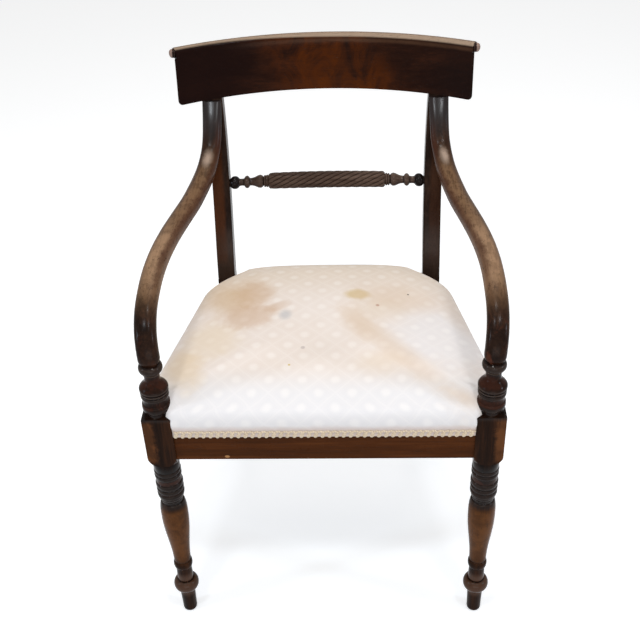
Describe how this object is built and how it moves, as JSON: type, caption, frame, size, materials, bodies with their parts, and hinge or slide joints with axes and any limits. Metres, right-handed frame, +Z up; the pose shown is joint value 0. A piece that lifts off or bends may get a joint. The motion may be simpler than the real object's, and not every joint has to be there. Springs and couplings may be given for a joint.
{
  "type": "rope back elbow chair",
  "caption": "Elbow chair with a curved tablet crest, carved rope rail, swept arms on turned supports, turned front legs, sabre back legs and a stuffed seat.",
  "frame": {"origin": "on the floor below the middle of the box round the chair", "axes": "+Z up, +X towards the sitter's left, which is the right of the picture, -Y out of the front of the chair"},
  "size_m": [0.5566, 0.5939, 0.85],
  "materials": {
    "mahogany": "polished",
    "beech": "raw",
    "damask": "woven, slightly lustrous, stained",
    "gimp": "braided",
    "webbing": "woven jute",
    "hessian": "plain weave",
    "stuffing": "curled hair",
    "bottom_cloth": "plain weave",
    "steel": "plain"
  },
  "bodies": {
    "root": {"front_leg_left": "mahogany", "front_leg_right": "mahogany", "back_post_left": "mahogany", "back_post_right": "mahogany", "crest_rail": "mahogany", "crest_buttons": "mahogany", "rope_rail": "mahogany", "arm_left": "mahogany", "arm_right": "mahogany", "arm_screws": "steel", "arm_plugs": "mahogany", "front_rail": "mahogany", "back_rail": "mahogany", "side_rail_left": "mahogany", "side_rail_right": "mahogany", "corner_block_front_left": "beech", "corner_block_front_right": "beech", "corner_block_back_left": "beech", "corner_block_back_right": "beech", "corner_block_screws": "steel", "long_webs": "webbing", "cross_webs": "webbing", "webbing_tacks": "steel", "hessian": "hessian", "seat_stuffing": "stuffing", "seat_cover": "damask", "gimp_front": "gimp", "gimp_left": "gimp", "gimp_right": "gimp", "gimp_back": "gimp", "bottom_cloth": "bottom_cloth", "bottom_cloth_tacks": "steel"}
  },
  "joints": []
}
